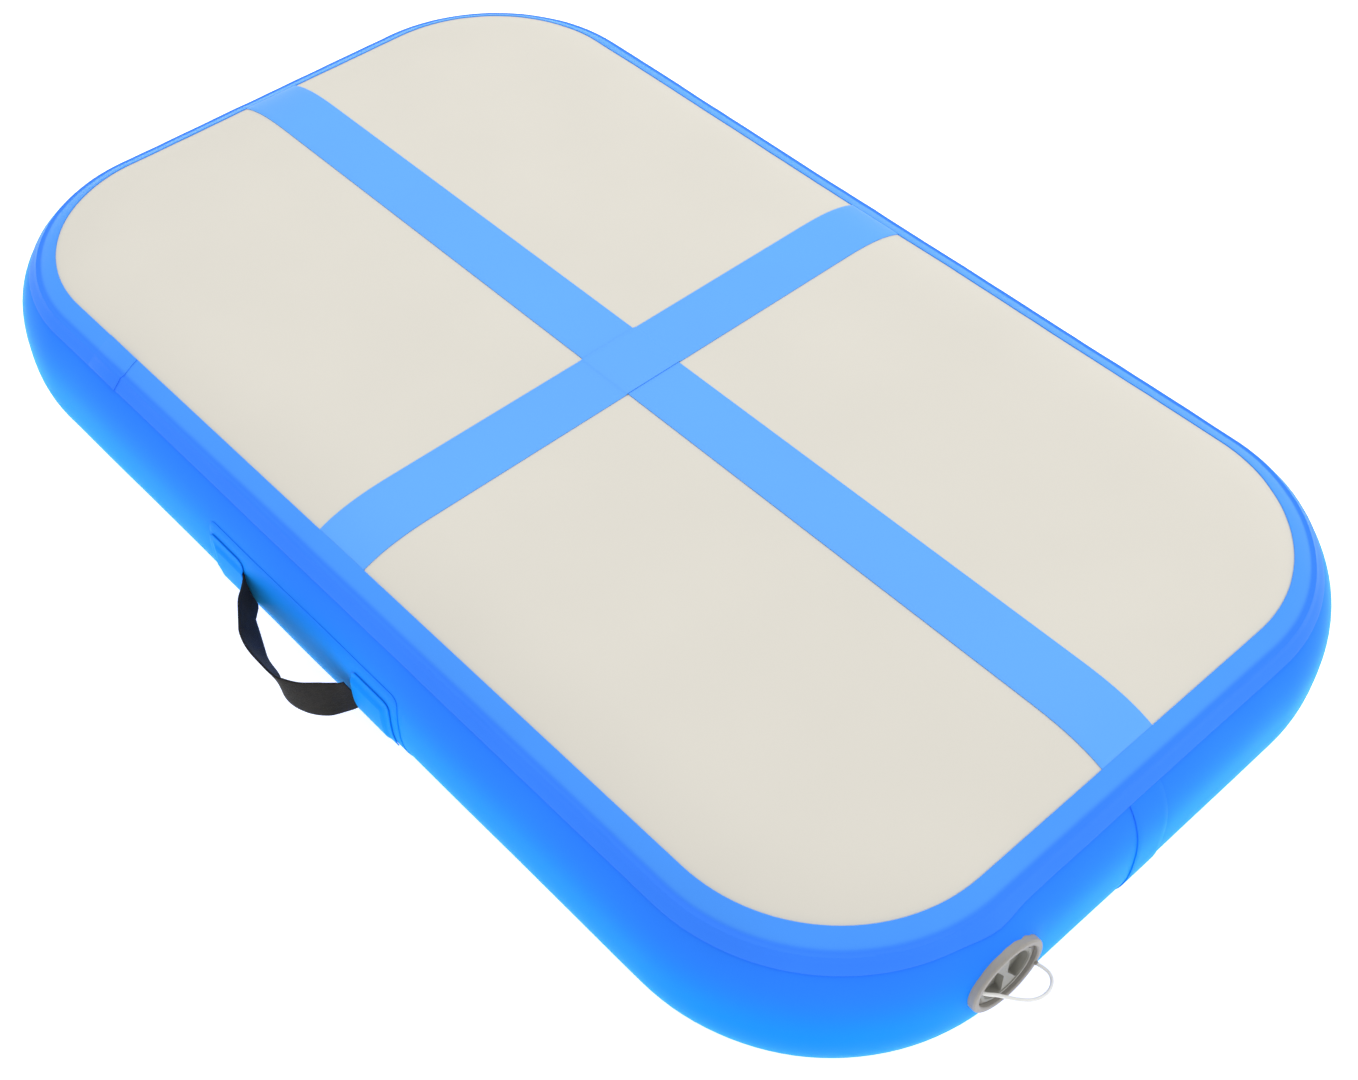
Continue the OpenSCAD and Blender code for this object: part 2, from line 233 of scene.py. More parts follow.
# %% [markdown]
# ## The side profile
# Air pushes the side wall out until it is round, while thousands of yarns hold the two decks flat. Cut through,
# the side is close to a superellipse: squarer than a circle, flat where it meets the deck. One formula gives
# its points, so the deck, the wall, the tapes and the patches all lie on each other without gaps.

# %% The side profile in numbers
DECK_T, WALL_T, TAPE_T, STRIPE_T = (t * MM for t in (1.2, 1.2, 0.9, 0.8))
HALF_L, HALF_W = (size - WALL_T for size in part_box("side_wall")[1][:2])
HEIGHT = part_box("top_deck")[1][2]
CORNER_R, SIDE_DEPTH, SIDE_POWER = 160 * MM, 100 * MM, 2.65
CORNER_X, CORNER_Y = HALF_L - CORNER_R, HALF_W - CORNER_R
CORE_R = CORNER_R - SIDE_DEPTH
TAPE_INSET, WALL_INSET, TAPE_LOW_INSET, DECK_INSET = (i * MM for i in (36, 22, 13.5, 15))


def out_share(t):
    return max(0.0, math.cos(t)) ** (2 / SIDE_POWER)


def up_share(t):
    return math.copysign(abs(math.sin(t)) ** (2 / SIDE_POWER), t)


def on_side(t, d=0.0):
    """Distance out from the corner's axis, and height, at angle t, moved d off the deck cloth's surface."""
    nx = out_share(t) ** (SIDE_POWER - 1) / SIDE_DEPTH
    nz = math.copysign(abs(up_share(t)) ** (SIDE_POWER - 1), t) / (HEIGHT / 2)
    size = math.hypot(nx, nz)
    return (CORE_R + SIDE_DEPTH * out_share(t) + d * nx / size,
            HEIGHT / 2 * (1 + up_share(t)) + d * nz / size)


def angle_at_inset(inset):
    return math.acos((1 - inset / SIDE_DEPTH) ** (SIDE_POWER / 2))


def angle_at_height(z):
    rise = (z - HEIGHT / 2) / (HEIGHT / 2)
    return math.copysign(math.asin(abs(rise) ** (SIDE_POWER / 2)), rise)


def profile(t0, t1, d=0.0, step=4.5 * MM):
    """Evenly spaced points of the profile between two angles. d is a distance, or a function of the angle."""
    lift = d if callable(d) else lambda t: d
    fine = [t0 + (t1 - t0) * i / 600 for i in range(601)]
    places = [Vector(on_side(t)) for t in fine]
    run = [0.0]
    for a, b in zip(places, places[1:]):
        run.append(run[-1] + (b - a).length)
    count = max(2, round(run[-1] / step))
    points, i = [], 0
    for k in range(count + 1):
        while i < 600 and run[i] < run[-1] * k / count - 1e-9:
            i += 1
        points.append(on_side(fine[i], lift(fine[i])))
    return points


T_TAPE, T_WALL, T_LOW, T_DECK = (angle_at_inset(i) for i in (TAPE_INSET, WALL_INSET, TAPE_LOW_INSET, DECK_INSET))
QUARTER = math.pi / 2
print("tape from", round(math.degrees(T_TAPE)), "to", round(math.degrees(T_LOW)), "degrees")

# %% [markdown]
# ## Sweeping a skin round the mat
# A skin is one section carried round a rounded rectangle. Modelling a quarter is enough. The section is drawn as
# a line at one end of the corner, spun a quarter turn about the corner's axis, and its two ends are pulled
# along the straights to the middle of the mat. The Mirror modifier then makes the other three quarters.
# Even steps matter, because the ripples that come later need vertices everywhere.

# %% Sweep helper
CORNER_STEPS, STRAIGHT_STEP = 30, 8 * MM


def sweep(name, section):
    piece = draw_line(name, [(CORNER_X, CORNER_Y + out, z) for out, z in section])
    bpy.ops.mesh.spin(steps=CORNER_STEPS, angle=QUARTER, center=(CORNER_X, CORNER_Y, 0), axis=(0, 0, 1))
    pull((0, -1, 0), CORNER_Y, STRAIGHT_STEP)
    near = 0.01 * MM
    pick(piece, lambda p: abs(p.x - CORNER_X) < near and p.y > CORNER_Y + near, "EDGE")
    pull((-1, 0, 0), CORNER_X, STRAIGHT_STEP)
    modify(piece, "MIRROR", use_axis=(True, True, False), merge_threshold=0.02 * MM)
    return piece


def facing(piece, centre=(0, 0, 0.075)):
    """Turns an open sheet's faces away from the middle of the mat."""
    face_outwards(piece)
    face = max(piece.data.polygons, key=lambda f: f.area)
    if face.normal.dot(face.center - Vector(centre)) < 0:
        piece.data.flip_normals()
    return piece


# %% [markdown]
# ## Cloth is never perfectly even
# Where the yarns stop, near the edge, the cloth is held only by air and by its welds, so it swells and puckers
# by a few tenths of a millimetre. The Displace modifier moves each vertex along its normal by a cloud texture.
# All skins use the same textures in the same space, so they move together and never cut through each other.
# A vertex group fades the effect out on the flat decks, where the yarns hold the cloth.

# %% Ripples shared by all skins
swell = bpy.data.textures.new("swell", "CLOUDS")
swell.noise_scale = 0.13
swell.noise_depth = 1
pucker = bpy.data.textures.new("pucker", "CLOUDS")
pucker.noise_scale = 0.022
pucker.noise_depth = 1


def fade(value, low, high):
    share = min(1.0, max(0.0, (value - low) / (high - low)))
    return share * share * (3 - 2 * share)


def outwardness(p):
    """How far a point lies out from the flat deck: 0 at the core radius, SIDE_DEPTH at the widest."""
    return math.hypot(max(0.0, abs(p.x) - CORNER_X), max(0.0, abs(p.y) - CORNER_Y)) - CORE_R


def swell_share(p):
    return fade(outwardness(p), 30 * MM, 75 * MM) * fade(p.z, 12 * MM, 45 * MM)


def pucker_share(p):
    seam = fade(outwardness(p), 50 * MM, 66 * MM) * (1 - fade(outwardness(p), 86 * MM, 97 * MM))
    return seam * fade(p.z, 80 * MM, 110 * MM)


def ripple(piece, swelling=1.3 * MM, puckering=0.5 * MM):
    for name, share in (("swell", swell_share), ("pucker", pucker_share)):
        group = piece.vertex_groups.new(name=name)
        for vertex in piece.data.vertices:
            group.add([vertex.index], share(vertex.co), "REPLACE")
    modify(piece, "DISPLACE", texture=swell, strength=swelling, mid_level=0.5, vertex_group="swell")
    modify(piece, "DISPLACE", texture=pucker, strength=puckering, mid_level=0.5, vertex_group="pucker")
    return piece


def thicken(piece, thickness, edge=0.2 * MM):
    """Gives a skin its thickness on the inner side, and rounds its cut edges."""
    modify(piece, "SOLIDIFY", thickness=thickness, offset=-1, use_even_offset=True)
    modify(piece, "BEVEL", width=edge, segments=2, limit_method="ANGLE", angle_limit=math.radians(55))
    smooth(piece)
    return piece


print("swell and pucker textures ready")

# %% [markdown]
# ## Materials for coated cloth
# The cloth is polyester coated with PVC. Up close it has a fine pebbled grain, and its gloss changes a little
# from place to place. One function builds that finish: a slow noise for the colour, a Voronoi pattern for
# the grain, and both feed the roughness. At a grazing angle the coating's haze glows in a paler blue, which
# is what sheen with a tint does. Patterns read Object coordinates, which are metres here, so one
# scale value means the same size on every piece.


# %% Coated cloth
def new_material(name, colour, roughness, specular=0.5, sheen=0.0):
    material = bpy.data.materials.new(name)
    material.use_nodes = True
    shader = material.node_tree.nodes["Principled BSDF"]
    shader.inputs["Base Color"].default_value = (*colour, 1)
    shader.inputs["Roughness"].default_value = roughness
    shader.inputs["Specular IOR Level"].default_value = specular
    shader.inputs["Sheen Weight"].default_value = sheen
    return material, shader


def node(material, kind, **values):
    """Adds a node. Names of inputs are written with _ for a space."""
    made = material.node_tree.nodes.new(kind)
    for key, value in values.items():
        label = key.replace("_", " ")
        if label in made.inputs:
            made.inputs[label].default_value = value
        else:
            setattr(made, key, value)
    return made


def wire(material, *pairs):
    for out_socket, in_socket in pairs:
        material.node_tree.links.new(out_socket, in_socket)


def tint(material, colour, change, factor):
    """A colour that swings by a share about its value as factor goes from 0 to 1."""
    ramp = node(material, "ShaderNodeValToRGB")
    for stop, share in zip(ramp.color_ramp.elements, (1 - change, 1 + change)):
        stop.color = (*(min(1.0, c * share) for c in colour), 1)
    ramp.color_ramp.elements[0].position = 0.3
    ramp.color_ramp.elements[1].position = 0.7
    wire(material, (factor, ramp.inputs["Fac"]))
    return ramp.outputs["Color"]


def painted_light_blend(material, low, high, share):
    """Mixes two colour outputs by a share from 0, all low, to 1, all high."""
    mix = node(material, "ShaderNodeMix", data_type="RGBA")
    sockets = {socket.identifier: socket for socket in mix.inputs}
    wire(material, (share, sockets["Factor_Float"]), (low, sockets["A_Color"]), (high, sockets["B_Color"]))
    return next(socket for socket in mix.outputs if socket.identifier == "Result_Color")


def coated_cloth(name, colour, roughness, grain=0.9 * MM, relief=0.05 * MM, change=0.03, specular=0.5,
                 haze=0.0, ior=1.5):
    """Returns the material, the slow noise that tints it and its shader."""
    material, shader = new_material(name, colour, roughness, specular, sheen=haze)
    shader.inputs["Sheen Tint"].default_value = (0.1, 0.8, 1.0, 1)
    shader.inputs["Sheen Roughness"].default_value = 0.3
    shader.inputs["IOR"].default_value = ior
    place = node(material, "ShaderNodeTexCoord").outputs["Object"]
    slow = node(material, "ShaderNodeTexNoise", Scale=9.0, Detail=3.0)
    pebbles = node(material, "ShaderNodeTexVoronoi", Scale=1 / grain, feature="SMOOTH_F1")
    fine = node(material, "ShaderNodeTexNoise", Scale=2.2 / grain, Detail=2.0)
    gloss = node(material, "ShaderNodeMapRange", To_Min=roughness - 0.06, To_Max=roughness + 0.08)
    height = node(material, "ShaderNodeMix", data_type="FLOAT", Factor=0.35)
    bump = node(material, "ShaderNodeBump", Strength=0.6, Distance=relief)
    wire(material, (place, slow.inputs["Vector"]), (place, pebbles.inputs["Vector"]),
         (place, fine.inputs["Vector"]), (slow.outputs["Fac"], gloss.inputs["Value"]),
         (gloss.outputs["Result"], shader.inputs["Roughness"]),
         (pebbles.outputs["Distance"], height.inputs["A"]), (fine.outputs["Fac"], height.inputs["B"]),
         (height.outputs["Result"], bump.inputs["Height"]), (bump.outputs["Normal"], shader.inputs["Normal"]),
         (tint(material, colour, change, slow.outputs["Fac"]), shader.inputs["Base Color"]))
    return material, slow.outputs["Fac"], shader


deck_cloth = coated_cloth("deck_cloth", (0.669, 0.642, 0.574), 0.66, grain=1.1 * MM, change=0.012, specular=0.3)[0]
# The stripes are the same blue cloth as the wall and tape, painted lighter to stand for the stronger light that
# falls on the flat deck.
stripe_cloth = coated_cloth("stripe_cloth", (0.105, 0.38, 0.97), 0.5, change=0.02, specular=0.3)[0]
print("deck and stripe cloth ready")

# %% [markdown]
# ## Painted light on the blues
# The wall's cloth is painted darker and a little more violet on its upper half and lighter and more azure below:
# painted shade above and painted bounce light from the floor below, so its colour changes with height. The border
# tape is painted paler where it lies on the deck and deeper where it runs down the wall, painted light on top and
# painted shade on the slope. The tape meshes carry that as an attribute, set when they are made.

# %% Wall and tape cloth
wall_cloth, wall_noise, wall_shader = coated_cloth("wall_cloth", (0.0, 0.24, 1.0), 0.45, specular=0.1,
                                                   haze=0.7, ior=1.2)
# The wall's colour is painted by height: darker and more violet above as painted shade, lighter and more azure
# below as painted bounce light from the floor.
heights = node(wall_cloth, "ShaderNodeSeparateXYZ")
rise = node(wall_cloth, "ShaderNodeMapRange", From_Min=0.070, From_Max=0.122, interpolation_type="SMOOTHSTEP")
wire(wall_cloth, (node(wall_cloth, "ShaderNodeTexCoord").outputs["Object"], heights.inputs["Vector"]),
     (heights.outputs["Z"], rise.inputs["Value"]),
     (painted_light_blend(wall_cloth, tint(wall_cloth, (0.0, 0.25, 1.0), 0.03, wall_noise),
               tint(wall_cloth, (0.026, 0.215, 0.98), 0.03, wall_noise), rise.outputs["Result"]),
      wall_shader.inputs["Base Color"]))
tape_cloth, tape_noise, tape_shader = coated_cloth("border_tape_cloth", (0.04, 0.22, 0.97), 0.42, specular=0.2,
                                                   haze=0.4, ior=1.3)
# The tape is painted paler where it lies on the deck and deeper where it runs down the wall: painted light on top
# and painted shade on the slope.
tape_light_share = node(tape_cloth, "ShaderNodeAttribute", attribute_name="over_deck")
wire(tape_cloth, (painted_light_blend(tape_cloth, tint(tape_cloth, (0.038, 0.222, 0.98), 0.03, tape_noise),
                           tint(tape_cloth, (0.07, 0.31, 0.97), 0.03, tape_noise), tape_light_share.outputs["Fac"]),
                  tape_shader.inputs["Base Color"]))
print("cloth finishes:", len(bpy.data.materials))

# %% [markdown]
# ## The decks
# A deck is a flat field of cloth that curves down over the edge and ends behind the side wall. The curved rim is
# swept like the other skins, from the corner's axis outwards. The field in the middle is a grid primitive with
# the same steps, so that the two join vertex to vertex. The lower deck is a mirrored copy.


# %% Make the decks
def flat_to_edge(t_end):
    flat = [(CORE_R * i / 8, HEIGHT) for i in range(8)]
    return flat + profile(QUARTER, t_end)


def mirrored(piece, name, normal, about=(0, 0, 0)):
    """A copy with its own mesh, mirrored in the plane through a point."""
    twin = piece.copy()
    twin.data = piece.data.copy()
    twin.name = twin.data.name = name
    bpy.context.collection.objects.link(twin)
    to_plane = Matrix.Translation(Vector(about))
    twin.data.transform(to_plane @ Matrix.Scale(-1, 4, Vector(normal)) @ to_plane.inverted())
    face_outwards(twin)
    return twin


top_deck = sweep("top_deck_cloth", flat_to_edge(T_DECK))
rest_mode()
cells_x, cells_y = (2 * round(size / STRAIGHT_STEP) for size in (CORNER_X, CORNER_Y))
bpy.ops.mesh.primitive_grid_add(x_subdivisions=cells_x, y_subdivisions=cells_y, size=2,
                                location=(0, 0, HEIGHT))
field = bpy.context.object
bpy.ops.transform.resize(value=(CORNER_X, CORNER_Y, 1))
bpy.ops.object.transform_apply(location=True, rotation=True, scale=True)
top_deck.select_set(True)
bpy.context.view_layer.objects.active = top_deck
bpy.ops.object.join()
ripple(facing(top_deck))
thicken(top_deck, DECK_T)
bottom_deck = mirrored(top_deck, "bottom_deck_cloth", (0, 0, 1), (0, 0, HEIGHT / 2))
smooth(bottom_deck)
finish_piece(top_deck, "mat", deck_cloth, "deck_cloth", "top_deck")
finish_piece(bottom_deck, "mat", deck_cloth, "deck_cloth", "bottom_deck")

# %% [markdown]
# ## The side wall
# One long strip closes the mat all round. Its edges lie outside the decks, under the tapes. The valve needs
# a round hole, which a Boolean modifier cuts with a cylinder along the valve's axis. The axis comes from the
# cap's hinge in the record. The flange is flat and the wall is round, so the nut draws the cloth flat against
# the flange, and the cloth falls back to its own curve a short way off.

# %% Make the side wall
cap_joint = next(j for j in frame["record"]["behaviour"]["joints"] if j["name"] == "cap_turn")
valve_out = Vector(cap_joint["axis"]).normalized()
valve_across = Vector((0, 0, 1)).cross(valve_out).normalized()
valve_up = valve_out.cross(valve_across)
valve_place = Matrix((valve_across, valve_up, valve_out)).transposed().to_4x4()
valve_place.translation = Vector(cap_joint["pos_m"])


def cut_round_hole(piece, radius):
    rest_mode()
    bpy.ops.mesh.primitive_cylinder_add(vertices=96, radius=radius, depth=60 * MM)
    cutter = bpy.context.object
    cutter.data.transform(valve_place)
    modify(piece, "BOOLEAN", object=cutter, operation="DIFFERENCE", solver="EXACT")
    bpy.data.objects.remove(cutter)


FLANGE_R, FLANGE_SEAT = 29.2 * MM, -1.4 * MM


def wall_height(across, up):
    """Height of the wall's natural surface over the flange's plane."""
    height = 0.0
    for _ in range(4):
        p = valve_place @ Vector((across, up, height))
        reach = math.hypot(p.x - CORNER_X, min(0.0, p.y + CORNER_Y))
        height += on_side(angle_at_height(p.z), WALL_T)[0] - reach
    return height


def settle_on_flange(piece, span=20 * MM):
    """Draws the cloth out to the back of the flat flange, and lets it fall back over a short span."""
    to_valve = valve_place.inverted()
    for vertex in piece.data.vertices:
        p = to_valve @ vertex.co
        r = math.hypot(p.x, p.y)
        if 0 < r < FLANGE_R + span and p.z > -60 * MM:
            edge = wall_height(FLANGE_R * p.x / r, FLANGE_R * p.y / r)
            share = 1 - max(0.0, r - FLANGE_R) / span
            vertex.co += valve_out * max(0.0, FLANGE_SEAT - edge) * share ** 2


side_wall = facing(sweep("side_wall_cloth", profile(-T_WALL, T_WALL, WALL_T)))
ripple(side_wall)
settle_on_flange(side_wall)
thicken(side_wall, WALL_T)
cut_round_hole(side_wall, FLANGE_R + 0.05 * MM)
smooth(side_wall)
finish_piece(side_wall, "mat", wall_cloth, "wall_cloth", "side_wall")

# %% [markdown]
# ## The border tapes
# A tape seals the joint of deck and wall. It lies on the deck, climbs over the wall's edge and ends on the wall.
# Hot welding squeezes a small bead up where it climbs, and that bead catches the light as a thin line all
# round. The section is the same profile with a lift that rises at the wall's edge.

# %% Make the border tapes
CLIMB = math.radians(2.6)


def tape_lift(t):
    bead = 0.55 * MM * math.exp(-((t - T_WALL + 0.6 * CLIMB) / (0.5 * CLIMB)) ** 2)
    return TAPE_T + WALL_T * (1 - fade(t, T_WALL - CLIMB / 2, T_WALL + CLIMB / 2)) + bead


def paint_tape_light(piece):
    """Painted light on the tape: 1, the paler painted tone, where it lies on the deck, 0, the deeper painted
    shade, where it lies on the wall.
    """
    over = piece.data.attributes.new("over_deck", "FLOAT", "POINT")
    for vertex, value in zip(piece.data.vertices, over.data):
        value.value = 1 - fade(outwardness(vertex.co), SIDE_DEPTH - WALL_INSET - 3 * MM, SIDE_DEPTH - WALL_INSET)


top_tape = facing(sweep("top_border_tape", profile(T_TAPE, T_LOW, tape_lift, 1.3 * MM)))
ripple(top_tape)
bottom_tape = mirrored(top_tape, "bottom_border_tape", (0, 0, 1), (0, 0, HEIGHT / 2))
settle_on_flange(top_tape)  # only the upper tape comes near the flange
for tape, cad_name in ((top_tape, "top_border_tape"), (bottom_tape, "bottom_border_tape")):
    thicken(facing(tape), TAPE_T)
    paint_tape_light(tape)
    finish_piece(tape, "mat", tape_cloth, "border_tape", cad_name)

# %% [markdown]
# ## Laps and splices
# The tape is not endless: its last few centimetres lie over its start, on the left side. The wall strip's
# ends meet at the valve end under a narrow upright splice. Both are the profile again, pulled along the straight
# for the length of the piece.


# %% Make the tape lap and the wall splice
LAP_T = 0.8 * TAPE_T


def fading_lap(x_thick, x_thin):
    """Tape on tape: a full step at one end, run down to nothing at the other."""
    rows = 8
    section = lambda d: profile(T_TAPE, T_LOW, lambda t: tape_lift(t) + d, 1.3 * MM)
    piece = draw_line("tape_lap", [(x_thick, -CORNER_Y - out, z) for out, z in section(LAP_T)])
    pull((1, 0, 0), x_thin - x_thick, abs(x_thin - x_thick) / rows)
    rest_mode()
    for vertex in piece.data.vertices:
        share = fade((vertex.co.x - x_thick) / (x_thin - x_thick), 0, 1)
        away = Vector((0, vertex.co.y + CORNER_Y + CORE_R, vertex.co.z - HEIGHT / 2)).normalized()
        vertex.co -= away * LAP_T * share
    return piece


lap = facing(fading_lap(-255 * MM, -292 * MM))
ripple(lap)
thicken(lap, LAP_T, 0.15 * MM)
paint_tape_light(lap)
finish_piece(lap, "mat", tape_cloth, "border_tape")

splice_low, splice_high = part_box("side_wall_splice")
splice = draw_line("wall_splice", [(CORNER_X + out, splice_low[1], z) for out, z in
                                   profile(-T_LOW, T_LOW, WALL_T + TAPE_T)])
pull((0, 1, 0), splice_high[1] - splice_low[1], 5 * MM)
ripple(facing(splice))
thicken(splice, TAPE_T)
finish_piece(splice, "mat", wall_cloth, "wall_cloth", "side_wall_splice")

# %% [markdown]
# ## The stripes
# Two wide stripes of tape cross the deck. They are the same blue cloth as the wall, painted lighter to stand for
# the stronger light on the flat deck. Each is a line from one border tape to the other, pulled sideways by its
# width.
# The cross stripe lies on top, so it steps up by one thickness where they meet, and that step shows as a fine line
# along its edges.


# %% Make the stripes
stripe_half = (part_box("lengthwise_stripe")[1][1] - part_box("lengthwise_stripe")[0][1]) / 2


def stripe_line(reach, lift):
    """Points from one tape to the other: (distance along, height)."""
    rim = [(reach + out, z) for out, z in profile(T_TAPE, QUARTER, lift)]
    flat_reach = reach + CORE_R
    steps = 60
    middle = [flat_reach * (1 - 2 * i / steps) for i in range(1, steps)]
    marks = [s * (stripe_half + ramp) for s in (-1, 1) for ramp in (0.0, 0.8 * MM, 1.8 * MM, 3 * MM)]
    spread = sorted({round(m, 6) for m in middle + marks if all(abs(m - k) > 2 * MM or m == k for k in marks)
                     or m in marks}, reverse=True)
    return rim + [(m, HEIGHT + lift) for m in spread] + [(-x, z) for x, z in reversed(rim)]


def stripe_sheet(name, reach, along, across, lift=STRIPE_T):
    corner = Vector(across) * -stripe_half
    points = [Vector(along) * s + corner + Vector((0, 0, z)) for s, z in stripe_line(reach, lift)]
    piece = draw_line(name, points)
    pull(across, 2 * stripe_half, 5 * MM)
    rest_mode()
    return facing(piece)


long_stripe = stripe_sheet("lengthwise_stripe_tape", CORNER_X, (1, 0, 0), (0, 1, 0))
cross_stripe = stripe_sheet("crosswise_stripe_tape", CORNER_Y, (0, 1, 0), (1, 0, 0))
for vertex in cross_stripe.data.vertices:
    vertex.co.z += STRIPE_T * (1 - fade(abs(vertex.co.y), stripe_half, stripe_half + 3 * MM))
for stripe, cad_name in ((long_stripe, "lengthwise_stripe"), (cross_stripe, "crosswise_stripe")):
    ripple(stripe)
    thicken(stripe, STRIPE_T, 0.15 * MM)
    finish_piece(stripe, "mat", stripe_cloth, "stripe", cad_name)

# %% [markdown]
# ## Patches cut flat and wrapped on the wall
# A handle is welded to the wall on a patch, and each end of its webbing lies under a pad. The real patches are cut
# flat with round corners, so these are too: a plane, its corner vertices bevelled, bisected into small
# cells so that it can bend. A short loop then wraps it on the profile, lifted where webbing lies beneath.
# The flat cut also gives the UV map, in metres, so a weave follows the cloth.


# %% Cut and wrap helpers
def cut_flat(name, x0, x1, z0, z1, corner, cell):
    rest_mode()
    bpy.ops.mesh.primitive_plane_add(size=1)
    piece = bpy.context.object
    piece.name = piece.data.name = name
    bpy.ops.object.mode_set(mode="EDIT")
    bpy.ops.mesh.select_all(action="SELECT")
    bpy.ops.transform.resize(value=(x1 - x0, z1 - z0, 1))
    bpy.ops.transform.translate(value=((x0 + x1) / 2, (z0 + z1) / 2, 0))
    if corner:
        bpy.ops.mesh.bevel(offset=corner, segments=6, affect="VERTICES")
    for axis, low, high in ((0, x0, x1), (1, z0, z1)):
        cuts = round((high - low) / cell)
        for k in range(1, cuts):
            place, normal = [0, 0, 0], [0, 0, 0]
            place[axis], normal[axis] = low + (high - low) * k / cuts, 1
            bpy.ops.mesh.select_all(action="SELECT")
            bpy.ops.mesh.bisect(plane_co=place, plane_no=normal)
    bpy.ops.object.mode_set(mode="OBJECT")
    uv = piece.data.uv_layers.active or piece.data.uv_layers.new(name="UVMap")
    for corner_point, loop in zip(uv.data, piece.data.loops):
        corner_point.uv = piece.data.vertices[loop.vertex_index].co.xy
    return piece


def wrap_left(piece, lift):
    """Wraps a flat cut (x, height) on the left side wall, lifted by a function of both."""
    for vertex in piece.data.vertices:
        x, z = vertex.co.xy
        out, height = on_side(angle_at_height(z), lift(x, z))
        vertex.co = (x, -(CORNER_Y + out), height)
    return ripple(facing(piece))


WEB_T = 1.6 * MM
PATCH_T = TAPE_T - 0.3 * MM
WALL_FACE = WALL_T + TAPE_T
print("flat cuts are wrapped", WALL_FACE / MM, "mm off the deck cloth")

# %% [markdown]
# ## Black webbing
# The handle is flat polyester webbing. Its weave is rows of short floats, each row shifted by half a float, which
# is what the Brick texture draws. It runs on the UV map, so it follows the band as it twists. The mortar between
# the bricks is the dark gap between yarns, and each brick gets a slightly different shade.


# %% Webbing material
def woven(name, colour, float_l, row_w, roughness=0.75):
    material, shader = new_material(name, colour, roughness, specular=0.15, sheen=0.05)
    shader.inputs["Sheen Roughness"].default_value = 0.4
    place = node(material, "ShaderNodeTexCoord").outputs["UV"]
    light = tuple(min(1.0, c * 1.5) for c in colour)
    dark = tuple(c * 0.55 for c in colour)
    rows = node(material, "ShaderNodeTexBrick", Scale=1.0, Color1=(*colour, 1), Color2=(*light, 1),
                Mortar=(*dark, 1), Mortar_Size=0.14 * row_w, Mortar_Smooth=0.7, Brick_Width=float_l,
                Row_Height=row_w)
    hair = node(material, "ShaderNodeTexNoise", Scale=1800.0, Detail=2.0)
    height = node(material, "ShaderNodeMath", operation="SUBTRACT")
    fuzz = node(material, "ShaderNodeMath", operation="MULTIPLY_ADD")
    fuzz.inputs[1].default_value = 0.25
    bump = node(material, "ShaderNodeBump", Strength=0.9, Distance=0.16 * MM)
    height.inputs[0].default_value = 1.0
    wire(material, (place, rows.inputs["Vector"]), (place, hair.inputs["Vector"]),
         (rows.outputs["Color"], shader.inputs["Base Color"]), (rows.outputs["Fac"], height.inputs[1]),
         (hair.outputs["Fac"], fuzz.inputs[0]), (height.outputs["Value"], fuzz.inputs[2]),
         (fuzz.outputs["Value"], bump.inputs["Height"]), (bump.outputs["Normal"], shader.inputs["Normal"]))
    return material


webbing = woven("black_webbing", (0.016, 0.0145, 0.0125), 2.6 * MM, 1.0 * MM)
print("webbing ready")

# %% [markdown]
# ## The handle's patch, pads and webbing tails
# The tails are the bonded ends of the webbing. A pad covers each tail and follows its shape: it stands one
# webbing thickness proud over the tail and settles on the patch around it. The left handle is modelled
# and the right one is its mirrored copy.

# %% Make the left handle's base
patch_low, patch_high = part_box("left_handle_patch")
front_low, front_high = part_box("left_handle_front_pad")
rear_low, rear_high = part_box("left_handle_rear_pad")
front_root, rear_root = front_low[0], rear_high[0]
swing = next(j for j in frame["record"]["behaviour"]["joints"] if j["name"] == "left_handle_swing")
grip_z = swing["pos_m"][2]
WEB_HALF, TAIL_L, PAD_HALF = 15 * MM, 34 * MM, 25 * MM


def over_tail(x, z):
    """1 over the webbing's tail, 0 on the bare patch beside it."""
    along = max(front_root - x, x - front_root - TAIL_L) if x > front_root - 5 * MM else \
        max(x - rear_root, rear_root - TAIL_L - x)
    beside = abs(z - grip_z) - WEB_HALF
    return 1 - fade(max(along, beside), 0.2 * MM, 3.2 * MM)


patch = cut_flat("left_handle_patch_cloth", patch_low[0], patch_high[0], patch_low[2], patch_high[2],
                 7 * MM, 6 * MM)
wrap_left(patch, lambda x, z: WALL_T + PATCH_T)
thicken(patch, PATCH_T, 0.28 * MM)
pads = []
for name, x0, x1 in (("left_front_pad", front_root, front_high[0]), ("left_rear_pad", rear_low[0], rear_root)):
    pad = cut_flat(name, x0, x1, grip_z - PAD_HALF, grip_z + PAD_HALF, 6 * MM, 2 * MM)
    wrap_left(pad, lambda x, z: WALL_FACE + TAPE_T + (WEB_T - 0.1 * MM) * over_tail(x, z))
    thicken(pad, TAPE_T - 0.1 * MM)
    pads.append(pad)
tails = []
for x0 in (front_root + 0.3 * MM, rear_root - TAIL_L):
    tail = cut_flat("left_webbing_tails", x0, x0 + TAIL_L - 0.3 * MM, grip_z - WEB_HALF, grip_z + WEB_HALF,
                    0, 3 * MM)
    wrap_left(tail, lambda x, z: WALL_FACE + WEB_T - 0.15 * MM)
    thicken(tail, WEB_T - 0.2 * MM)
    tails.append(tail)
rest_mode()
for tail in tails:
    tail.select_set(True)
bpy.context.view_layer.objects.active = tails[0]
bpy.ops.object.join()
base_pieces = ((patch, "left_handle_patch", wall_cloth, "wall_cloth"),
               (pads[0], "left_handle_front_pad", wall_cloth, "wall_cloth"),
               (pads[1], "left_handle_rear_pad", wall_cloth, "wall_cloth"),
               (tails[0], "left_handle_tails", webbing, "webbing"))
for piece, cad_name, material, slot in base_pieces:
    twin = mirrored(piece, piece.name.replace("left", "right"), (0, 1, 0))
    smooth(twin)
    finish_piece(piece, "mat", material, slot, cad_name)
    finish_piece(twin, "mat", material, slot, cad_name.replace("left", "right"))
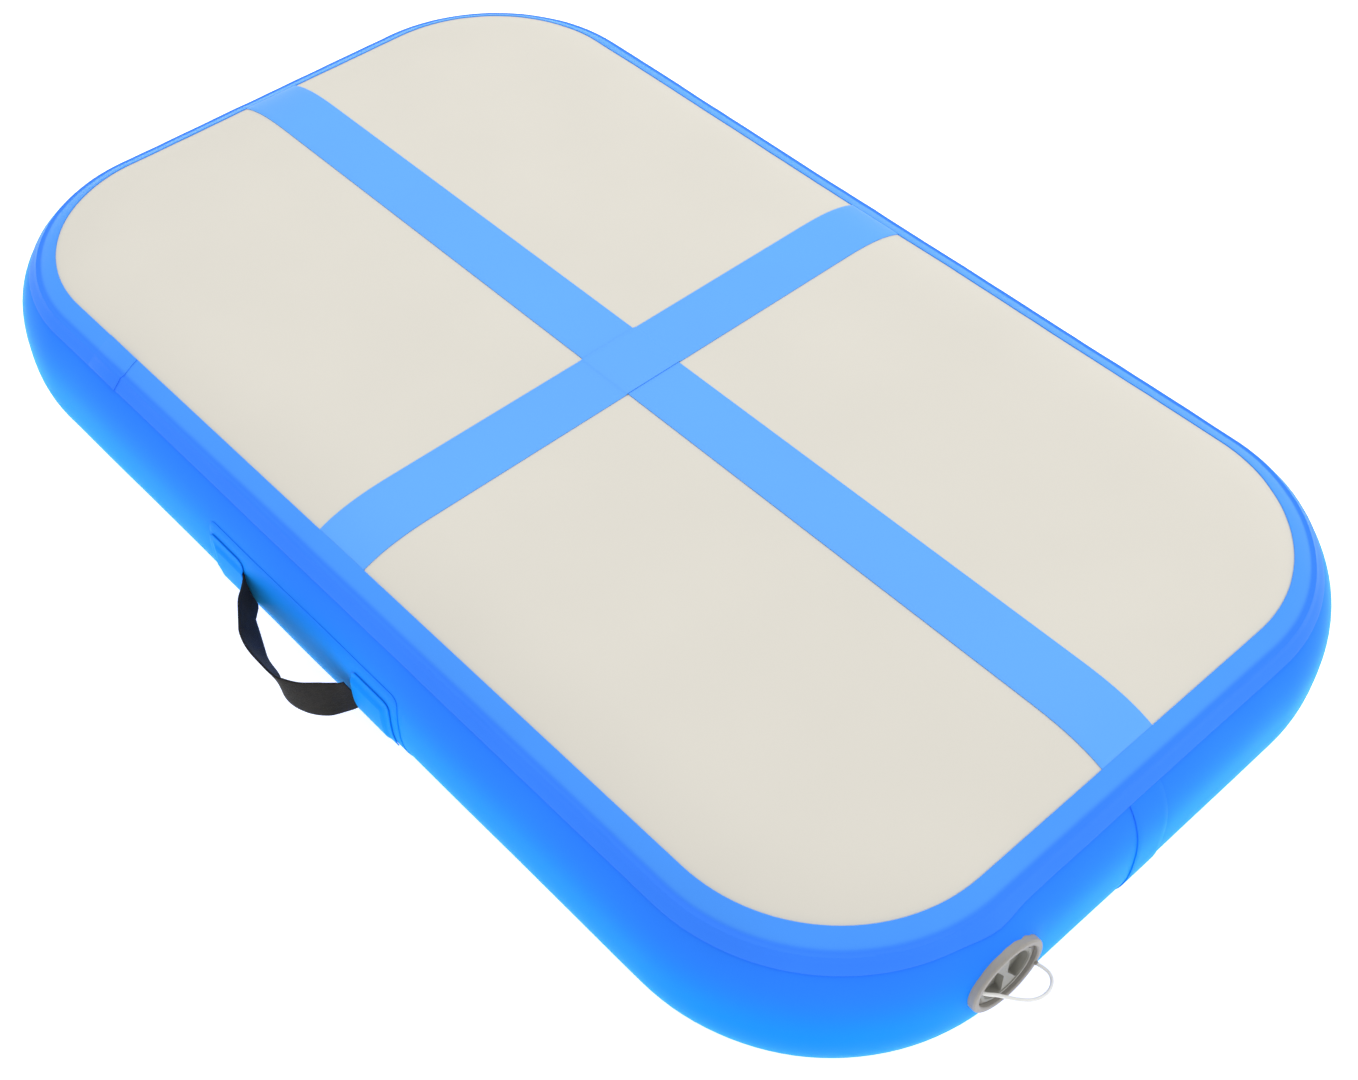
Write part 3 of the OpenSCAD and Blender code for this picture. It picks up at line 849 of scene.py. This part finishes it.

# %% [markdown]
# ## The strap
# The free part of the webbing is stiff enough to stand off the wall, but it has been squeezed in a parcel, so it
# twists and kinks on its way. A flat band that twists can't be swept by an operator that keeps it square to
# its path, so it is built directly: a smooth line through listed points, a frame at each step, and a ring of
# vertices across the band. The rounded selvedges are part of the ring. The UV map unrolls the band in metres.


# %% Make the straps
def smooth_line(points, per_span=8):
    """A Catmull-Rom line through points of any number of values."""
    points = [tuple(p) for p in points]
    line = []
    for i in range(len(points) - 1):
        p0, p1, p2, p3 = (points[max(0, min(len(points) - 1, k))] for k in (i - 1, i, i + 1, i + 2))
        for k in range(per_span):
            t = k / per_span
            line.append(tuple(0.5 * (2 * b + (c - a) * t + (2 * a - 5 * b + 4 * c - d) * t * t
                                     + (3 * b - a - 3 * c + d) * t ** 3) for a, b, c, d in zip(p0, p1, p2, p3)))
    return line + [points[-1]]


def band_ring(half_w, half_t):
    """Section of the band: (across, through), with rounded selvedges."""
    edge = [(half_w - half_t + half_t * math.cos(a), half_t * math.sin(a))
            for a in (math.radians(d) for d in (-90, -45, 0, 45, 90))]
    flats = [half_w * s for s in (0.7, 0.35, 0.0, -0.35, -0.7)]
    right = edge + [(v, half_t) for v in flats]
    return right + [(-v, -h) for v, h in right]


def strand(name, stations, ring, uv_across):
    """Joins rings of vertices along stations: (centre, direction across, camber), from end to end."""
    mesh = bmesh.new()
    uv = mesh.loops.layers.uv.new("UVMap")
    rows, length, lengths = [], 0.0, []
    for i, (centre, wide, camber) in enumerate(stations):
        ahead = stations[min(i + 1, len(stations) - 1)][0] - stations[max(i - 1, 0)][0]
        through = ahead.normalized().cross(wide).normalized()
        if i:
            length += (centre - stations[i - 1][0]).length
        lengths.append(length)
        rows.append([mesh.verts.new(centre + wide * v + through * h + camber(v)) for v, h in ring])
    n = len(ring)  # the UV map's v is uv_across of the vertex's number in the ring
    for i in range(len(rows) - 1):
        for k in range(n):
            face = mesh.faces.new((rows[i][k], rows[i][(k + 1) % n], rows[i + 1][(k + 1) % n], rows[i + 1][k]))
            for loop, (row, place) in zip(face.loops, ((i, k), (i, k + 1), (i + 1, k + 1), (i + 1, k))):
                loop[uv].uv = (lengths[row], uv_across(place))
    mesh.faces.new(rows[0])
    mesh.faces.new(reversed(rows[-1]))
    data = bpy.data.meshes.new(name)
    mesh.to_mesh(data)
    mesh.free()
    piece = bpy.data.objects.new(name, data)
    bpy.context.collection.objects.link(piece)
    face_outwards(piece)
    smooth(piece, 50)
    return piece


def strap_stations(shape, side):
    """shape: x, distance out from the patch, height and twist in degrees, at listed places."""
    patch_y = HALF_W + WALL_FACE
    wall_out = on_side(angle_at_height(grip_z))[0]
    line = smooth_line(shape)
    centres = [Vector((x * MM, side * (patch_y + out * MM), z * MM)) for x, out, z, twist in line]
    stations = []
    for i, (centre, (x, out, z, twist)) in enumerate(zip(centres, line)):
        ahead = (centres[min(i + 1, len(line) - 1)] - centres[max(i - 1, 0)]).normalized()
        up = (Vector((0, 0, 1)) - ahead * ahead.z).normalized()
        wide = Matrix.Rotation(math.radians(twist), 3, ahead) @ up
        near_root = 1 - fade(min(x * MM - rear_root, front_root - x * MM), 0, 16 * MM)

        def camber(v, share=near_root):
            gap = wall_out - on_side(angle_at_height(grip_z + v))[0]
            return Vector((0, -side * gap * share, 0))
        stations.append((centre, wide, camber))
    return stations


crumpled = [(-77.2, 0.9, 65, 0), (-71, 2.5, 65, 9), (-64, 8, 66, 12), (-57, 14.5, 65.5, 15), (-44, 21.5, 59, 27),
            (-28, 27.3, 58.7, 27), (-8, 29.6, 59.5, 24), (9, 30.4, 55.3, 6), (25, 25, 55.6, -4),
            (40, 16, 60.7, -10), (47.5, 7, 62.5, -5), (51.2, 0.9, 65, 0)]
hanging = [(-77.2, 0.9, 65, 0), (-70, 1.8, 64, -4), (-60, 6, 60, -8), (-44, 12, 52, -12), (-22, 16, 45, -16),
           (0, 16, 44, -14), (22, 12.5, 50, -10), (38, 7, 58, -6), (46, 3, 62.5, -3), (51.2, 0.9, 65, 0)]
band_section = band_ring(WEB_HALF, WEB_T / 2)
for side, name, shape in ((-1, "left", crumpled), (1, "right", hanging)):
    band = strand(name + "_webbing_strap", strap_stations(shape, side), band_section,
                  lambda k: band_section[k % len(band_section)][0])
    band.data.materials.append(webbing)
    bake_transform(band)
    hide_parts(name + "_handle_strap")
    print(name, "strap, outermost:", round(max(abs(v.co.y) for v in band.data.vertices) / MM, 1))

# %% [markdown]
# ## Moulded plastic, rubber, steel and yarn
# The valve is injection moulded. Its skin has a fine spark-eroded texture and faint clouds where the plastic
# flowed, so one function mixes a fine noise for the relief with a slow one for shade and gloss. Rubber is the
# same with a coarser grain, and the spring's steel is the same finish made metallic. These finishes also go on the
# CAD nodes
# whose shape is already right: they are turned and moulded parts that need no more modelling.


# %% Moulded finishes
def moulded(name, colour, roughness, relief=0.012 * MM, change=0.05, specular=0.4, metal=0.0):
    material, shader = new_material(name, colour, roughness, specular)
    shader.inputs["Metallic"].default_value = metal
    place = node(material, "ShaderNodeTexCoord").outputs["Object"]
    clouds = node(material, "ShaderNodeTexNoise", Scale=140.0, Detail=4.0)
    grain = node(material, "ShaderNodeTexNoise", Scale=5200.0, Detail=2.0)
    gloss = node(material, "ShaderNodeMapRange", To_Min=roughness - 0.07, To_Max=roughness + 0.09)
    bump = node(material, "ShaderNodeBump", Strength=0.5, Distance=relief)
    wire(material, (place, clouds.inputs["Vector"]), (place, grain.inputs["Vector"]),
         (clouds.outputs["Fac"], gloss.inputs["Value"]), (gloss.outputs["Result"], shader.inputs["Roughness"]),
         (grain.outputs["Fac"], bump.inputs["Height"]), (bump.outputs["Normal"], shader.inputs["Normal"]),
         (tint(material, colour, change, clouds.outputs["Fac"]), shader.inputs["Base Color"]))
    return material


flange_plastic = moulded("flange_plastic", (0.305, 0.287, 0.262), 0.5)
cap_plastic = moulded("cap_plastic", (0.248, 0.243, 0.215), 0.5)
acetal = moulded("acetal", (0.55, 0.53, 0.50), 0.38)
rubber = moulded("seal_rubber", (0.03, 0.03, 0.03), 0.7, relief=0.03 * MM, specular=0.3)
spring_steel = moulded("spring_steel", (0.6, 0.6, 0.6), 0.3, metal=1.0)
yarn = moulded("polyester_yarn", (0.85, 0.85, 0.83), 0.8, relief=0.06 * MM, specular=0.2)
finishes = {"valve_body": flange_plastic, "cap_ring": flange_plastic, "valve_nut": cap_plastic,
            "stem_poppet": cap_plastic, "valve_stem": acetal, "spring_retainer": acetal,
            "valve_gasket": rubber, "clamp_washer": rubber, "poppet_seal": rubber, "cap_seal": rubber,
            "stem_spring": spring_steel, "drop_stitch_yarns": yarn}
for name, material in finishes.items():
    for holder in bpy.data.objects[name].material_slots:
        holder.material = material
print("finishes on", len(finishes), "CAD nodes")

# %% [markdown]
# ## The valve's cap
# The cap is a shallow disc with a rim. Two deep pockets leave a bow-tie bar between them that fingers can turn.
# A lathe makes the disc: its section is drawn as a line and spun round the axis. A pocket's outline is an arc
# near the rim and one corner near the middle; it is filled, its three corners are rounded and it is
# pulled up into a cutter. A bevel then rounds every edge as a mould does. The cap is modelled upright
# at the origin and placed at the valve at the end.

# %% Make the cap
PLUG_R, PLUG_LOW, PLUG_HIGH = 24.2 * MM, -6.4 * MM, -2.6 * MM
NECK_R, LIP_R, CAP_TOP, RING_HIGH = 20.8 * MM, 21.6 * MM, 1.6 * MM, 0.4 * MM
POCKET_R, POCKET_FLOOR, GRIP_TURN = 18.7 * MM, -4.8 * MM, math.radians(107.5)
inside_r = NECK_R - 1.4 * MM
cap_section = [(0, PLUG_LOW), (PLUG_R, PLUG_LOW), (PLUG_R, PLUG_HIGH), (NECK_R, PLUG_HIGH),
               (NECK_R, RING_HIGH + 0.3 * MM), (LIP_R, RING_HIGH + 0.6 * MM), (LIP_R, CAP_TOP),
               (inside_r, CAP_TOP), (inside_r, CAP_TOP - 0.6 * MM), (0, CAP_TOP - 0.6 * MM)]
cap = draw_line("valve_cap", [(r, 0, z) for r, z in cap_section])
bpy.ops.mesh.spin(steps=96, angle=4 * QUARTER, center=(0, 0, 0), axis=(0, 0, 1))
face_outwards(cap)


def pocket_cutter(direction, half_angle=math.radians(71), corner=1.1 * MM):
    rim = [direction + half_angle * i / 16 for i in range(-16, 17)]
    outline = [Vector((POCKET_R * math.cos(a), POCKET_R * math.sin(a), POCKET_FLOOR)) for a in rim]
    outline.append(Vector((1.5 * MM * math.cos(direction), 1.5 * MM * math.sin(direction), POCKET_FLOOR)))
    cutter = draw_line("pocket_cutter", outline)
    bpy.ops.mesh.edge_face_add()
    sharp = (outline[0], outline[-2], outline[-1])
    pick(cutter, lambda p: min((p - c).length for c in sharp) < 0.01 * MM)
    bpy.ops.mesh.bevel(offset=corner, segments=6, affect="VERTICES")
    bpy.ops.mesh.select_all(action="SELECT")
    pull((0, 0, 1), 20 * MM, 20 * MM)
    face_outwards(cutter)
    return cutter


for side in (-1, 1):
    cutter = pocket_cutter(GRIP_TURN + side * QUARTER)
    modify(cap, "BOOLEAN", object=cutter, operation="DIFFERENCE", solver="EXACT")
    bpy.data.objects.remove(cutter)
modify(cap, "BEVEL", width=0.35 * MM, segments=3, limit_method="ANGLE", angle_limit=math.radians(40))
cap.data.transform(valve_place)
smooth(cap, 40)
finish_piece(cap, "cap", cap_plastic, "cap_plastic", "cap")

# %% [markdown]
# ## The leash
# A braided cord ties the loose ring under the cap to the flange, so the cap can't be lost. It leaves the flange
# straight, loops over the cap and enters the ring. It is a mesh tube along listed points.
# Its length is the length of the route, measured along the line.

# %% Make the leash
LEASH_D = 2.4 * MM
leash_route = [(24.6, -9.5, 4), (24.9, -9.6, 6.2), (25.8, -10.1, 8.6), (26.5, -10.6, 11.2), (26.6, -11, 13.9),
               (25.6, -11.3, 16.6), (23.6, -11.3, 19), (20.6, -10.9, 20.9), (17, -10.1, 22.2), (13, -9, 22.8),
               (8.8, -7.6, 22.8), (4.6, -6.1, 22), (0.6, -4.6, 20.5), (-3.2, -3, 18.3), (-6.8, -1.4, 15.7),
               (-10.2, 0.2, 12.9), (-13.4, 1.7, 10), (-16.6, 3, 7.4), (-19.8, 4.3, 5.3), (-22.2, 5.3, 3),
               (-22.4, 5.35, 0.4)]  # across, up, out, from the valve
leash_line = [valve_place @ (Vector(p) * MM) for p in smooth_line(leash_route, per_span=5)]
LEASH_SIDES = 14
circle = [(math.cos(a) * LEASH_D / 2, math.sin(a) * LEASH_D / 2)
          for a in (2 * math.pi * k / LEASH_SIDES for k in range(LEASH_SIDES))]


def leash_stations(line):
    stations = []
    for i, centre in enumerate(line):
        way = (line[min(i + 1, len(line) - 1)] - line[max(i - 1, 0)]).normalized()
        stations.append((centre, (valve_up - way * way.dot(valve_up)).normalized(), lambda v: Vector()))
    return stations


leash = strand("cap_leash_cord", leash_stations(leash_line), circle,
               lambda k: math.pi * LEASH_D * k / LEASH_SIDES)


# %% [markdown]
# ## Braid and collars
# The braid is two sets of diagonal strands. Modelling each strand would cost thousands of faces, so two waves
# on the cord's UV map cross and the higher one makes the relief. A moulded collar grips each end of the leash.
# A collar is a cone primitive with its edges bevelled, made upright and then placed at the valve.


# %% Braid it and tie it on
def braided(name, colour, strand_w):
    """Two sets of diagonal strands that cross: the higher of two waves, on the UV map in metres."""
    material, shader = new_material(name, colour, 0.7, specular=0.2, sheen=0.2)
    place = node(material, "ShaderNodeTexCoord").outputs["UV"]
    flip = node(material, "ShaderNodeMapping")
    flip.inputs["Scale"].default_value = (1, -1, 1)
    waves = [node(material, "ShaderNodeTexWave", Scale=0.314 / strand_w, bands_direction="DIAGONAL")
             for _ in range(2)]
    higher = node(material, "ShaderNodeMath", operation="MAXIMUM")
    bump = node(material, "ShaderNodeBump", Strength=0.8, Distance=0.18 * MM)
    wire(material, (place, waves[0].inputs["Vector"]), (place, flip.inputs["Vector"]),
         (flip.outputs["Vector"], waves[1].inputs["Vector"]), (waves[0].outputs["Fac"], higher.inputs[0]),
         (waves[1].outputs["Fac"], higher.inputs[1]), (higher.outputs["Value"], bump.inputs["Height"]),
         (bump.outputs["Normal"], shader.inputs["Normal"]),
         (tint(material, colour, 0.08, higher.outputs["Value"]), shader.inputs["Base Color"]))
    return material


leash.data.materials.append(braided("leash_braid", (0.80, 0.80, 0.78), 0.55 * MM))
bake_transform(leash)
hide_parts("cap_leash")
for name, body, (across, up, out) in (("flange_collar", "mat", leash_route[0]),
                                      ("ring_collar", "leash_ring", leash_route[-1])):
    rest_mode()
    bpy.ops.mesh.primitive_cone_add(vertices=32, radius1=1.6 * MM, radius2=1.35 * MM, depth=1.6 * MM,
                                    location=(across * MM, up * MM, (out + 0.7) * MM))
    collar = bpy.context.object
    collar.name = collar.data.name = name
    bpy.ops.object.transform_apply(location=True, rotation=True, scale=True)
    modify(collar, "BEVEL", width=0.3 * MM, segments=3, limit_method="ANGLE", angle_limit=math.radians(40))
    collar.data.transform(valve_place)
    smooth(collar, 40)
    finish_piece(collar, body, flange_plastic, "valve_plastic")
